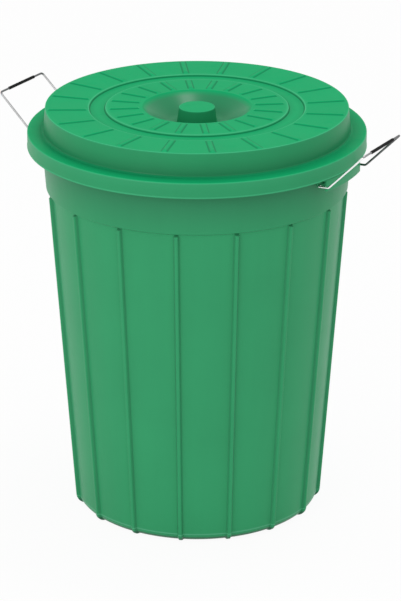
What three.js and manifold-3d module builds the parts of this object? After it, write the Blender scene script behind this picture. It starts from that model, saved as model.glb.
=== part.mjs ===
import * as THREE from "three";
import { mergeVertices } from "three/addons/utils/BufferGeometryUtils.js";
import Module from "manifold-3d";

// A tapered plastic storage drum with a round lift-off lid and two swinging wire bails.
// Lengths are millimetres and angles are degrees unless a name says otherwise.
// The origin is the middle of the foot, +Z is up, and +X points to the right bail.

// Drum wall, foot and rim: radii run outwards or inwards from the mouth, heights down from the rim or up from the floor
const drumHeight = 620.5; // floor to the top of the rim
const mouthRadius = 243.5; // outside of the collar, carried up to the top of the rim
const drumWall = 3;
const lipReach = 18; // collar to the outside of the rim's lip
const lipWall = 3;
const lipDepth = 18; // top of the rim to the lower edge of its turned-down lip
const rimRound = 2;
const collarDepth = 90.4; // top of the rim to the collar's lower edge
const collarBatter = 6.3; // how far the collar draws in from top to bottom
const collarProud = 4.4; // collar to the panels under it
const collarStep = 2.5; // height of the slanted face under the collar
const panelBatter = 36.6; // how far the panels draw in from the collar to the floor
const footRound = 16;
const innerFootRound = 12;
const footRingWidth = 48.2; // panels, carried down to the floor, to the shallow recess under the base
const recessDepth = 3;
const recessSlope = 4;

// Ribs on the drum
const ribCount = 16;
const ribHeight = 5;
const ribCrestWidth = 4.5;
const ribFootWidth = 8.5;
const ribNotch = 2.5; // height of the slanted end under the collar
const ribRoot = 1.5; // how far a rib or a bearing block runs into the wall behind it

// Lugs that carry the bails: an apron that hangs from the lip, with a bearing block behind it
const apronWidth = 111;
const apronHeight = 18.5;
const apronWall = 3;
const apronProud = 3; // outside of the lip to the apron's face
const apronGap = 0.7; // lid's skirt to the apron's upper edge
const blockInset = 9; // end of the apron to the end of the block
const blockDepth = 38; // top of the rim to the block's underside
const blockBite = 1.5; // how far the block runs into the lip and the apron
const pivotInset = 14; // outside of the lip to the pin axis
const pivotDrop = 31; // top of the rim to the pin axis

// Lid
const lidWall = 2.8;
const lidSeatGap = 0.3; // rim to the underside of the brim
const lidSideClearance = 1.2; // rim's lip to the inside of the skirt
const brimRound = 2;
const skirtDepth = 24.4; // top of the brim to the skirt's lower edge
const crownHeight = 37.2; // top of the brim to the crown's edge
const crownInset = 3.5; // mouth to the foot of the crown
const crownBatter = 3.5; // how far the crown draws in from foot to edge
const crownFootRound = 4;
const crownRound = 1;
const discDrop = 2; // crown's edge to the inner disc
const channelOuterRadius = 168.6;
const channelInnerRadius = 142.4;
const channelDepth = 3;
const channelWallRun = 1.5;
const channelRound = 1;
const bowlRadius = 85.4;
const bowlDepth = 28;
const bowlFloorRadius = 45;
const bowlFloorRound = 24;
const bowlEdgeRound = 3;
const knobDrop = 0.1; // inner disc to the top of the knob
const knobTopRadius = 28;
const knobFootRadius = 31.5;
const knobRound = 2.5;
const knobFootRound = 4;

// Ribs on the lid
const lidRibCount = 20;
const lidRibHeight = 1.5;
const lidRibCrestWidth = 4.5;
const lidRibFootWidth = 9.5;
const lidRibEndRun = 2;
const lidRibRoot = 1;
const crownRibInnerInset = 3.4; // channel's outer edge to the rib's end
const crownRibOuterInset = 3.5; // rib's end to the crown's edge
const discRibInnerInset = 4.6; // bowl's edge to the rib's end
const discRibOuterInset = 5.4; // rib's end to the channel's inner edge

// Bails
const wireDiameter = 3.4;
const pinReach = 12; // length of a pin inside its block, with the bail in the middle
const pinEndGap = 1.5;
const pinClearance = 0.35; // wire to bore, on the radius
const bailSideClearance = 4.6; // end of the apron to the wire, with the bail in the middle
const bailSideShift = -3.3; // where along Y both bails stand, slid on their pins from the middle
const pinBend = 3.25;
const crankLength = 18.5; // pin axis to the knee
const legLength = 82.4; // knee to corner, seen from the side
const legRise = 43.1; // angle between crank and leg
const barWidth = 122; // centre to centre of the legs at the bar
const kneeBend = 7;
const cornerBend = 5;
const rightRestAngle = 2.1; // the crank's angle above level as it stands
const leftRestAngle = 1.2;
const gripDiameter = 5;
const gripLength = 71.5;
const gripClearance = 0.3;

// Fineness of the faceted surfaces
const drumSegments = 64;
const lidSegments = 60;
const wireSides = 10;
const gripSides = 16;
const boreSides = 16;
const bendSteps = 4;
const chordError = 0.35; // greatest gap between a rounded edge and its straight cuts
const weldDistance = 1e-4;

// Derived sizes
const flangeUnder = drumHeight - drumWall;
const lipRadius = mouthRadius + lipReach;
const collarFoot = drumHeight - collarDepth;
const collarFootRadius = mouthRadius - collarBatter;
const panelHeadRadius = collarFootRadius - collarProud;
const panelFootRadius = panelHeadRadius - panelBatter;
const recessRadius = panelFootRadius - footRingWidth;
const pivotRadius = lipRadius - pivotInset;
const pivotHeight = drumHeight - pivotDrop;
const brimRadius = lipRadius + lidSideClearance + lidWall;
const crownFootRadius = mouthRadius - crownInset;
const crownRadius = crownFootRadius - crownBatter;
const brimTop = drumHeight + lidSeatGap + lidWall;
const crownTop = brimTop + crownHeight;
const discLevel = crownTop - discDrop;
const knobTop = discLevel - knobDrop;
const lipFoot = drumHeight - lipDepth;
const apronRadius = lipRadius + apronProud;
const apronTop = brimTop - skirtDepth - apronGap;
const blockWidth = apronWidth - 2 * blockInset;
const wireRadius = wireDiameter / 2;
const bailFootWidth = apronWidth + 2 * (bailSideClearance + wireRadius);

// Materials
const drumPlastic = new THREE.MeshStandardMaterial({ color: 0x42976a, roughness: 0.42, metalness: 0 });
const lidPlastic = new THREE.MeshStandardMaterial({ color: 0x2fa66c, roughness: 0.38, metalness: 0 });
const brightSteel = new THREE.MeshStandardMaterial({ color: 0xc9ccce, roughness: 0.28, metalness: 1 });
const blackVinyl = new THREE.MeshStandardMaterial({ color: 0x17181a, roughness: 0.5, metalness: 0 });

const wasm = await Module();
wasm.setup();

// Solids and meshes

// The closed solid of a geometry, with its shared points welded and its flat slivers left out.
function solidOf(geometry) {
  const bare = geometry.index ? geometry.toNonIndexed() : geometry.clone();
  bare.deleteAttribute("normal");
  bare.deleteAttribute("uv");
  const welded = mergeVertices(bare, weldDistance);
  const corners = [];
  for (let i = 0; i < welded.index.count; i += 3) {
    const face = [0, 1, 2].map((k) => welded.index.getX(i + k));
    if (new Set(face).size === 3) corners.push(...face);
  }
  const vertProperties = new Float32Array(welded.attributes.position.array);
  const triVerts = new Uint32Array(corners);
  return new wasm.Manifold(new wasm.Mesh({ numProp: 3, vertProperties, triVerts }));
}

// A named mesh of a solid.
function meshOf(name, solid, material) {
  const { vertProperties, triVerts } = solid.getMesh();
  const geometry = new THREE.BufferGeometry();
  geometry.setAttribute("position", new THREE.BufferAttribute(vertProperties, 3));
  geometry.setIndex(new THREE.BufferAttribute(triVerts, 1));
  geometry.computeVertexNormals();
  const mesh = new THREE.Mesh(geometry, material);
  mesh.name = name;
  return mesh;
}

// Copies of a solid at equal angles round the drum's axis, joined to a body.
function joinRing(body, geometry, count) {
  let joined = body;
  for (let i = 0; i < count; i++) {
    joined = joined.add(solidOf(geometry.clone().rotateZ((2 * Math.PI * i) / count)));
  }
  return joined;
}

// Outlines

const point = ([r, z]) => new THREE.Vector2(r, z);

// The points of an outline of [radius, height, round] corners, with each round cut into short straights.
function roundedOutline(corners) {
  const points = [];
  corners.forEach((corner, i) => {
    const here = point(corner);
    const round = corner[2] ?? 0;
    if (round === 0) {
      points.push(here);
      return;
    }
    const back = point(corners[i - 1]).sub(here).normalize();
    const onward = point(corners[i + 1]).sub(here).normalize();
    const halfAngle = back.angleTo(onward) / 2;
    const tangent = round / Math.tan(halfAngle);
    const centre = back.clone().add(onward).setLength(round / Math.sin(halfAngle)).add(here);
    const start = back.multiplyScalar(tangent).add(here).sub(centre);
    const end = onward.multiplyScalar(tangent).add(here).sub(centre);
    const turn = Math.atan2(start.cross(end), start.dot(end));
    const steps = Math.max(2, Math.ceil(Math.abs(turn) / (2 * Math.acos(1 - chordError / round))));
    for (let s = 0; s <= steps; s++) {
      const angle = (turn * s) / steps;
      points.push(start.clone().rotateAround(new THREE.Vector2(), angle).add(centre));
    }
  });
  return points;
}

// The corners of the parallel outline on the right of an open outline, or on its left for a negative distance.
function parallelCorners(corners, distance) {
  const normals = corners.slice(1).map((corner, i) => {
    const along = point(corner).sub(point(corners[i])).normalize();
    return new THREE.Vector2(along.y, -along.x);
  });
  return corners.map((corner, i) => {
    const before = normals[Math.max(i - 1, 0)];
    const after = normals[Math.min(i, normals.length - 1)];
    const mitre = before.clone().add(after).multiplyScalar(distance / (1 + before.dot(after)));
    return point(corner).add(mitre).toArray();
  });
}

// A solid of revolution about +Z, with a point of every ring on +X.
function revolve(outline, segments) {
  return solidOf(new THREE.LatheGeometry(outline, segments).rotateX(Math.PI / 2));
}

// A closed geometry through rings of four points each, with flat ends.
function loft(rings) {
  const positions = rings.flat().flatMap((p) => p.toArray());
  const index = [];
  const sides = rings[0].length;
  for (let i = 0; i + 1 < rings.length; i++) {
    for (let k = 0; k < sides; k++) {
      const a = i * sides + k;
      const b = i * sides + ((k + 1) % sides);
      index.push(a, b, b + sides, a, b + sides, a + sides);
    }
  }
  const last = (rings.length - 1) * sides;
  index.push(0, 2, 1, 0, 3, 2, last, last + 1, last + 2, last, last + 2, last + 3);
  const geometry = new THREE.BufferGeometry();
  geometry.setAttribute("position", new THREE.Float32BufferAttribute(positions, 3));
  geometry.setIndex(index);
  return geometry;
}

// Drum

// The wall's outer corners from the middle of the base to the top of the rim.
function wallCorners() {
  return [
    [0, recessDepth],
    [recessRadius, recessDepth],
    [recessRadius + recessSlope, 0],
    [panelFootRadius, 0, footRound],
    [panelHeadRadius, collarFoot],
    [collarFootRadius, collarFoot + collarStep],
    [mouthRadius, drumHeight],
  ];
}

// The collar's outer radius at a height.
function collarRadius(height) {
  const share = (height - collarFoot - collarStep) / (drumHeight - collarFoot - collarStep);
  return THREE.MathUtils.lerp(collarFootRadius, mouthRadius, share);
}

// Base, tapered wall, collar and the rim with its turned-down lip.
function drumShell() {
  const outside = wallCorners();
  const inside = parallelCorners(outside, -drumWall);
  inside[3].push(innerFootRound);
  const rim = [
    [collarRadius(flangeUnder), flangeUnder],
    [lipRadius - lipWall, flangeUnder],
    [lipRadius - lipWall, lipFoot],
    [lipRadius, lipFoot],
    [lipRadius, drumHeight, rimRound],
  ];
  const innerEdge = [mouthRadius - drumWall, drumHeight];
  inside[inside.length - 1] = innerEdge;
  return revolve(roundedOutline([...outside.slice(0, -1), ...rim, ...inside.reverse()]), drumSegments);
}

// One rib along +X: its crest follows the panel and turns under with the foot.
function drumRib() {
  const panel = [
    [0, 0],
    [panelFootRadius, 0, footRound],
    [panelHeadRadius, collarFoot],
  ];
  const raised = panel.map(([r, z, round]) => [r === 0 ? 0 : r + ribHeight, z, round]);
  const sunk = parallelCorners(panel, -ribRoot);
  sunk[1].push(footRound);
  const surface = roundedOutline(panel).slice(1);
  const crest = roundedOutline(raised).slice(1);
  const root = roundedOutline(sunk).slice(1);
  const notchShare = ribNotch / collarFoot;
  const shoulder = crest.length - 1;
  const ends = [surface[shoulder], root[shoulder]];
  crest[shoulder].lerp(point(raised[1]), notchShare);
  const rootWidth = ribFootWidth + ((ribFootWidth - ribCrestWidth) * ribRoot) / ribHeight;
  const ring = (top, bottom) => [
    new THREE.Vector3(bottom.x, -rootWidth / 2, bottom.y),
    new THREE.Vector3(top.x, -ribCrestWidth / 2, top.y),
    new THREE.Vector3(top.x, ribCrestWidth / 2, top.y),
    new THREE.Vector3(bottom.x, rootWidth / 2, bottom.y),
  ];
  const rings = crest.map((top, i) => {
    const bottom = i === shoulder ? root[i].clone().lerp(point(sunk[1]), notchShare) : root[i];
    return ring(top, bottom);
  });
  return loft([...rings, ring(...ends)]);
}

// The part of a turned ring that lies along +X or -X and is no wider than a given width.
function ringPart(corners, side, width) {
  const ring = revolve(roundedOutline([...corners, corners[0]]), drumSegments);
  const slab = new THREE.BoxGeometry(apronRadius, width, drumHeight);
  slab.translate((side * (apronRadius + apronWall)) / 2, 0, drumHeight / 2);
  return ring.intersect(solidOf(slab));
}

// The apron of one lug: it hangs from the lip and stands proud of it, under the lid's skirt.
function apron(side) {
  const underLedge = apronTop - apronWall;
  const corners = [
    [apronRadius - apronWall, apronTop - apronHeight],
    [apronRadius, apronTop - apronHeight],
    [apronRadius, apronTop],
    [lipRadius, apronTop],
    [lipRadius, lipFoot + blockBite],
    [lipRadius - lipWall, lipFoot + blockBite],
    [lipRadius - lipWall, underLedge],
    [apronRadius - apronWall, underLedge],
  ];
  return ringPart(corners, side, apronWidth);
}

// The bearing block of one lug, between the collar and the apron and up to the rim.
function bearingBlock(side) {
  const foot = drumHeight - blockDepth;
  const step = apronTop - apronWall + blockBite;
  const corners = [
    [collarRadius(foot) - ribRoot, foot],
    [apronRadius - apronWall + blockBite, foot],
    [apronRadius - apronWall + blockBite, step],
    [lipRadius - blockBite, step],
    [lipRadius - blockBite, flangeUnder + blockBite],
    [collarRadius(flangeUnder) - ribRoot, flangeUnder + blockBite],
  ];
  return ringPart(corners, side, blockWidth);
}

// The bore for one pin, open at a block's end face.
function pinBore(side, end) {
  const depth = pinReach + Math.abs(bailSideShift) + pinEndGap;
  const overrun = pinBend;
  const bore = new THREE.CylinderGeometry(
    wireRadius + pinClearance,
    wireRadius + pinClearance,
    depth + overrun,
    boreSides,
  );
  const middle = blockWidth / 2 + (overrun - depth) / 2;
  return solidOf(bore.translate(side * pivotRadius, end * middle, pivotHeight));
}

function drumBody() {
  let body = joinRing(drumShell(), drumRib(), ribCount);
  for (const side of [1, -1]) {
    body = body.add(apron(side)).add(bearingBlock(side));
    for (const end of [1, -1]) body = body.subtract(pinBore(side, end));
  }
  return body;
}

// Lid

// The upper surface from the middle of the knob to the skirt's lower edge.
function lidCorners() {
  return [
    [0, knobTop],
    [knobTopRadius, knobTop, knobRound],
    [knobFootRadius, discLevel - bowlDepth, knobFootRound],
    [bowlFloorRadius, discLevel - bowlDepth, bowlFloorRound],
    [bowlRadius, discLevel, bowlEdgeRound],
    [channelInnerRadius, discLevel, channelRound],
    [channelInnerRadius + channelWallRun, discLevel - channelDepth],
    [channelOuterRadius - channelWallRun, discLevel - channelDepth],
    [channelOuterRadius, discLevel, channelRound],
    [crownRadius, crownTop, crownRound],
    [crownFootRadius, brimTop, crownFootRound],
    [brimRadius, brimTop, brimRound],
    [brimRadius, brimTop - skirtDepth],
  ];
}

// One low rib along +X on the line between two points of the lid's top, with slanted sides and ends.
function lidRib(innerEnd, outerEnd) {
  const slope = outerEnd.clone().sub(innerEnd).normalize();
  const grow = (lidRibRoot + lidRibHeight) / lidRibHeight;
  const rootWidth = lidRibCrestWidth + (lidRibFootWidth - lidRibCrestWidth) * grow;
  const rootRun = lidRibEndRun * (grow - 1);
  const ring = (inset, lift, width) => {
    const from = innerEnd.clone().addScaledVector(slope, inset);
    const to = outerEnd.clone().addScaledVector(slope, -inset);
    return [
      new THREE.Vector3(from.x, -width / 2, from.y + lift),
      new THREE.Vector3(to.x, -width / 2, to.y + lift),
      new THREE.Vector3(to.x, width / 2, to.y + lift),
      new THREE.Vector3(from.x, width / 2, from.y + lift),
    ];
  };
  return loft([
    ring(-rootRun, -lidRibRoot, rootWidth),
    ring(lidRibEndRun, lidRibHeight, lidRibCrestWidth),
  ]);
}

// The lid's top between the channel and the crown's edge rises a little outwards.
function crownHeightAt(radius) {
  const share = (radius - channelOuterRadius) / (crownRadius - channelOuterRadius);
  return THREE.MathUtils.lerp(discLevel, crownTop, share);
}

function lid() {
  const top = lidCorners();
  const under = parallelCorners(top, lidWall);
  const shell = revolve(roundedOutline([...under, ...top.reverse()]), lidSegments);
  const discRib = lidRib(
    point([bowlRadius + discRibInnerInset, discLevel]),
    point([channelInnerRadius - discRibOuterInset, discLevel]),
  );
  const innerEnd = channelOuterRadius + crownRibInnerInset;
  const outerEnd = crownRadius - crownRibOuterInset;
  const crownRib = lidRib(
    point([innerEnd, crownHeightAt(innerEnd)]),
    point([outerEnd, crownHeightAt(outerEnd)]),
  );
  return joinRing(joinRing(shell, discRib, lidRibCount), crownRib, lidRibCount);
}

// Bails

// The centre line of a bent wire: straight runs between corners, each corner turned on its bend radius.
// Its stations stand at the bends, so a step of the parameter is one station and not a length.
class BentWire extends THREE.Curve {
  constructor(corners, bends) {
    super();
    this.stations = [corners[0]];
    this.directions = [corners[1].clone().sub(corners[0]).normalize()];
    bends.forEach((bend, i) => this.addBend(corners[i], corners[i + 1], corners[i + 2], bend));
    const [beforeLast, last] = corners.slice(-2);
    this.stations.push(last);
    this.directions.push(last.clone().sub(beforeLast).normalize());
  }

  addBend(before, corner, after, bend) {
    const arriving = corner.clone().sub(before).normalize();
    const leaving = after.clone().sub(corner).normalize();
    const turn = arriving.angleTo(leaving);
    const inwards = leaving.clone().sub(arriving).normalize();
    const centre = inwards.clone().multiplyScalar(bend / Math.cos(turn / 2)).add(corner);
    const axis = arriving.clone().cross(leaving).normalize();
    for (let s = 0; s <= bendSteps; s++) {
      const angle = (turn * s) / bendSteps;
      const direction = arriving.clone().applyAxisAngle(axis, angle);
      const spoke = direction.clone().cross(axis).multiplyScalar(bend);
      this.stations.push(centre.clone().add(spoke));
      this.directions.push(direction);
    }
  }

  between(list, t) {
    const place = t * (list.length - 1);
    const index = Math.min(Math.floor(place), list.length - 2);
    return list[index].clone().lerp(list[index + 1], place - index);
  }

  getPoint(t, target = new THREE.Vector3()) {
    return target.copy(this.between(this.stations, t));
  }

  getTangent(t, target = new THREE.Vector3()) {
    return target.copy(this.between(this.directions, t)).normalize();
  }

  getUtoTmapping(u) {
    return u;
  }
}

// The corner between leg and bar, measured from the pin axis with the crank level.
const legAngle = THREE.MathUtils.degToRad(legRise);
const barReach = crankLength + legLength * Math.cos(legAngle);
const barLift = legLength * Math.sin(legAngle);

function bailWire() {
  const half = [
    new THREE.Vector3(0, blockWidth / 2 - pinReach, 0),
    new THREE.Vector3(0, bailFootWidth / 2, 0),
    new THREE.Vector3(crankLength, bailFootWidth / 2, 0),
    new THREE.Vector3(barReach, barWidth / 2, barLift),
  ];
  const mirrored = half.map((p) => new THREE.Vector3(p.x, -p.y, p.z)).reverse();
  const bends = [pinBend, kneeBend, cornerBend];
  const path = new BentWire([...half, ...mirrored], [...bends, ...bends.toReversed()]);
  const section = new THREE.Shape(
    new THREE.EllipseCurve(0, 0, wireRadius, wireRadius).getPoints(wireSides).slice(0, -1),
  );
  const steps = path.stations.length - 1;
  return solidOf(new THREE.ExtrudeGeometry(section, { steps, extrudePath: path }));
}

// The sleeve on the bar, open at both ends.
function gripSleeve() {
  const inner = wireRadius + gripClearance;
  const outer = gripDiameter / 2;
  const end = gripLength / 2;
  const outline = [
    [inner, -end],
    [outer, -end],
    [outer, end],
    [inner, end],
    [inner, -end],
  ];
  return solidOf(new THREE.LatheGeometry(outline.map(point), gripSides));
}

// A bail stands in a group at its pins, turned to its rest angle, and a grip sits on its bar.
function bail(label, restAngle, sideShift) {
  const swing = new THREE.Group();
  swing.position.set(pivotRadius, sideShift, pivotHeight);
  swing.rotation.y = -THREE.MathUtils.degToRad(restAngle);
  const grip = meshOf(`${label}_bail_grip`, gripSleeve(), blackVinyl);
  grip.position.set(barReach, 0, barLift);
  swing.add(meshOf(`${label}_bail_wire`, bailWire(), brightSteel), grip);
  return swing;
}

// Whole object

const storageDrum = new THREE.Group();
const leftSide = new THREE.Group();
leftSide.rotation.z = Math.PI;
leftSide.add(bail("left", leftRestAngle, -bailSideShift));
storageDrum.add(
  meshOf("drum_body", drumBody(), drumPlastic),
  meshOf("lid", lid(), lidPlastic),
  bail("right", rightRestAngle, bailSideShift),
  leftSide,
);

export default storageDrum;
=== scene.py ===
"""A tapered, ribbed plastic storage drum with a round lift-off lid and two swinging wire bails.

Lengths are metres and angles are degrees unless a name says otherwise.
The origin is the middle of the foot, +Z is up, and +X points to the right bail.
"""

from __future__ import annotations

import logging
import math
from collections.abc import Callable, Sequence
from dataclasses import dataclass, field
from enum import Enum

import bmesh
import bpy
from mathutils import Matrix, Vector


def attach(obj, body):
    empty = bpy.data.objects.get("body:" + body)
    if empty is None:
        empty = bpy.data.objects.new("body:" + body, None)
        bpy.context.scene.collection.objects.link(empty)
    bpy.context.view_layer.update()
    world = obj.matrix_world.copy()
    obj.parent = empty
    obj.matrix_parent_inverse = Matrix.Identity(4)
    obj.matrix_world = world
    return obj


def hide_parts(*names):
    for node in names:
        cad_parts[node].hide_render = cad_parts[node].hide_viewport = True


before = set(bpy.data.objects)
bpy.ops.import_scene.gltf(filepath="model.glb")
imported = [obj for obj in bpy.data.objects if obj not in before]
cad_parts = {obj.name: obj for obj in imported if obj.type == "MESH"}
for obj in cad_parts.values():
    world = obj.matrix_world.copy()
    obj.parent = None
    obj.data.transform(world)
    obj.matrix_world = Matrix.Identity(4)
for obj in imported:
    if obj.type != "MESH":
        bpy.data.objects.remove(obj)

LOG = logging.getLogger("storage_drum")
FULL_TURN = 2 * math.pi
TONE = "tone"  # a mesh's own tone: above 0 a painted highlight along edges, below 0 painted shade in creases; on the wire, its painted reflection
GLOSS = "gloss"  # a mesh's own gloss: 1 where the mould was polished, 0 where it was matt
UPRIGHT_TILT = 0.25  # the height of a normal below which a face counts as upright
LEVEL_TILT = 0.95  # the height of a normal above which a face counts as level
ON_AXIS = 1e-7  # the radius below which a turned form closes on its axis
TOUCH = 1e-6  # the distance within which two surfaces are the same one
Triple = tuple[float, float, float]
Colour = Triple
Pair = tuple[float, float]


class Slot(Enum):
    """The record's material slots."""

    DRUM = "drum_plastic"
    LID = "lid_plastic"
    WIRE = "bright_wire"
    GRIP = "black_grip"


class Side(Enum):
    """The two bails, by the side of the drum they hang on, with each crank's rest angle above level."""

    RIGHT = ("right", 1, 2.1)
    LEFT = ("left", -1, 1.2)

    def __init__(self, label: str, sign: int, rest_angle: float) -> None:
        """Keeps the side's name in the record, its direction along X and its rest angle.

        Args:
            label: the side's name in the record.
            sign: its direction along X.
            rest_angle: the crank's angle above level as it stands.
        """
        self.label = label
        self.sign = sign
        self.rest_angle = rest_angle


# Shader expressions


class Shade:
    """An output socket whose number or colour varies over a surface. Arithmetic on it adds Math nodes."""

    def __init__(self, recipe: Recipe, socket: bpy.types.NodeSocket) -> None:
        """Keeps the recipe that the socket belongs to."""
        self.recipe = recipe
        self.socket = socket

    def _math(self, operation: str, first: Shade | float, second: Shade | float) -> Shade:
        """Adds one Math node and returns its result."""
        return self.recipe.node("ShaderNodeMath", {"operation": operation}, {0: first, 1: second})

    def __add__(self, other: Shade | float) -> Shade:
        """Sum."""
        return self._math("ADD", self, other)

    def __radd__(self, other: float) -> Shade:
        """Sum with a number on the left."""
        return self._math("ADD", other, self)

    def __sub__(self, other: Shade | float) -> Shade:
        """Difference."""
        return self._math("SUBTRACT", self, other)

    def __rsub__(self, other: float) -> Shade:
        """Difference from a number on the left."""
        return self._math("SUBTRACT", other, self)

    def __mul__(self, other: Shade | float) -> Shade:
        """Product."""
        return self._math("MULTIPLY", self, other)

    def __rmul__(self, other: float) -> Shade:
        """Product with a number on the left."""
        return self._math("MULTIPLY", other, self)

    def highest(self, other: Shade | float) -> Shade:
        """The larger of this and another value."""
        return self._math("MAXIMUM", self, other)


class Recipe:
    """The node tree of one material or world, with a Principled shader where it is a material."""

    def __init__(self, tree: bpy.types.NodeTree) -> None:
        """Empties the tree.

        Args:
            tree: the node tree of a material or a world.
        """
        self.tree = tree
        self.tree.nodes.clear()

    def node(
        self,
        kind: str,
        settings: dict[str, object] | None = None,
        sockets: dict[int | str, object] | None = None,
        output: int | str = 0,
    ) -> Shade:
        """Adds a node.

        Args:
            kind: Blender's name for the node's type.
            settings: the node's own settings, set before its sockets.
            sockets: a value or a link for each input, by name or number.
            output: the output to return.

        Returns:
            The chosen output.
        """
        made = self.tree.nodes.new(kind)
        for name, value in (settings or {}).items():
            setattr(made, name, value)
        for name, value in (sockets or {}).items():
            if isinstance(value, Shade):
                self.tree.links.new(value.socket, made.inputs[name])
            else:
                made.inputs[name].default_value = value
        return Shade(self, made.outputs[output] if made.outputs else None)

    def attribute(self, name: str) -> Shade:
        """A number that the mesh carries at each point, such as its tone or its gloss."""
        return self.node("ShaderNodeAttribute", {"attribute_name": name}, output="Fac")

    def upward(self) -> Shade:
        """1 where the surface faces up, 0 where it stands upright or faces down.

        Returns:
            The value over the surface.
        """
        normal = self.node("ShaderNodeNewGeometry", output="Normal")
        height = self.node("ShaderNodeSeparateXYZ", {}, {0: normal}, output="Z")
        return self.spread(height, UPRIGHT_TILT, LEVEL_TILT)

    def noise(self, scale: float | Triple, detail: float, roughness: float = 0.5) -> Shade:
        """Noise from 0 to 1 in the object's own space.

        Args:
            scale: how fine the noise is, along all axes or along each.
            detail: the finer layers on top.
            roughness: the strength of each finer layer.

        Returns:
            The noise.
        """
        stretch = scale if isinstance(scale, tuple) else (scale,) * 3
        coordinates = self.node("ShaderNodeTexCoord", output="Object")
        place = self.node("ShaderNodeVectorMath", {"operation": "MULTIPLY"}, {0: coordinates, 1: stretch})
        sockets = {"Vector": place, "Scale": 1.0, "Detail": detail, "Roughness": roughness}
        return self.node("ShaderNodeTexNoise", {}, sockets)

    def spread(self, value: Shade, low: float, high: float) -> Shade:
        """Maps a value's range to 0 to 1, held at its ends."""
        sockets = {"Value": value, "From Min": low, "From Max": high}
        return self.node("ShaderNodeMapRange", {"clamp": True}, sockets)

    def blend(self, factor: Shade | float, first: Shade | Colour, second: Shade | Colour) -> Shade:
        """Mixes two colours.

        Args:
            factor: 0 for the first colour, 1 for the second.
            first: a colour.
            second: a colour.

        Returns:
            The mixed colour.
        """
        colours = [c if isinstance(c, Shade) else (*c, 1.0) for c in (first, second)]
        settings = {"data_type": "RGBA", "blend_type": "MIX"}
        return self.node("ShaderNodeMix", settings, {0: factor, 6: colours[0], 7: colours[1]}, output=2)

    def bump(self, height: Shade, depth: float, below: Shade | None = None) -> Shade:
        """A normal bent by a fine relief.

        Args:
            height: the relief, from 0 to 1.
            depth: the relief's depth.
            below: another bend that this one lies on.

        Returns:
            The bent normal.
        """
        sockets = {"Height": height, "Distance": depth, "Strength": 1.0}
        if below is not None:
            sockets["Normal"] = below
        return self.node("ShaderNodeBump", {}, sockets)


# Finishes


@dataclass(frozen=True)
class Finish:
    """A finish that one Principled shader gives."""

    name: str

    def material(self) -> bpy.types.Material:
        """The finish as a material.

        Returns:
            The material.
        """
        material = bpy.data.materials.new(self.name)
        material.use_nodes = True
        recipe = Recipe(material.node_tree)
        shader = recipe.node("ShaderNodeBsdfPrincipled", {}, self.sockets(recipe))
        recipe.node("ShaderNodeOutputMaterial", {}, {"Surface": shader})
        return material

    def sockets(self, recipe: Recipe) -> dict[str, object]:
        """The values and links of the shader's sockets.

        Args:
            recipe: the material's recipe.

        Returns:
            The values and links, by socket name.
        """
        raise NotImplementedError


@dataclass(frozen=True)
class MouldedPlastic(Finish):
    """Satin moulded polypropylene with faint clouding, flow streaks, fine pebbling, rubbed patches and
    painted light and shade.
    """

    # the wall and top colours are a shaded and a lit copy of one colour, and the edge and crease colours are
    # a painted highlight and a painted shade
    shaded_wall_colour: Colour
    lit_top_colour: Colour
    painted_highlight_colour: Colour
    painted_shade_colour: Colour
    roughness: float
    specular: float
    streak_scale: Triple
    coat_roughness: float = 0.3
    cloud_scale: float = 9.0
    cloud_share: float = 0.55
    cloud_range: Pair = (0.36, 0.64)
    cloud_shade: float = 0.94
    rubbed_scale: float = 63.0
    rubbed_range: Pair = (0.55, 0.72)
    pebble_scale: float = 1100.0
    pebble_depth: float = 0.000012
    ripple_scale: float = 24.0
    ripple_depth: float = 0.00016
    streak_roughness: float = 0.10
    rubbed_roughness: float = 0.07
    pebble_roughness: float = 0.05

    def sockets(self, recipe: Recipe) -> dict[str, object]:
        """The values and links of the shader's sockets.

        Args:
            recipe: the material's recipe.

        Returns:
            The values and links, by socket name.
        """
        clouds = recipe.noise(self.cloud_scale, 3.0)
        streaks = recipe.noise(self.streak_scale, 4.0, 0.6)
        pebbles = recipe.noise(self.pebble_scale, 2.0, 0.6)
        ripples = recipe.noise(self.ripple_scale, 1.0)
        rubbed = recipe.spread(recipe.noise(self.rubbed_scale, 6.0, 0.7), *self.rubbed_range)
        cloud = recipe.spread(clouds * self.cloud_share + streaks * (1 - self.cloud_share), *self.cloud_range)
        # painted light: upward faces take the lit top colour and upright faces the shaded wall colour
        plain = recipe.blend(recipe.upward(), self.shaded_wall_colour, self.lit_top_colour)
        dimmed = {0: plain, "Scale": self.cloud_shade}
        shaded = recipe.node("ShaderNodeVectorMath", {"operation": "SCALE"}, dimmed)
        clouded = recipe.blend(cloud, shaded, plain)
        # the mesh's tone paints a highlight on edges where it is above 0 and shade in creases where it is
        # below 0
        tone = recipe.attribute(TONE)
        highlighted = recipe.blend(recipe.spread(tone, 0.0, 1.0), clouded, self.painted_highlight_colour)
        uneven = (streaks - 0.5) * self.streak_roughness + (pebbles - 0.5) * self.pebble_roughness
        return {
            # painted shade where the mesh's tone is below 0
            "Base Color": recipe.blend(recipe.spread(tone, 0.0, -1.0), highlighted, self.painted_shade_colour),
            "Roughness": self.roughness + uneven + rubbed * self.rubbed_roughness,
            "Specular IOR Level": self.specular,
            "Coat Weight": recipe.attribute(GLOSS),
            "Coat Roughness": self.coat_roughness,
            "Normal": recipe.bump(pebbles, self.pebble_depth, recipe.bump(ripples, self.ripple_depth)),
        }


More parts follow.
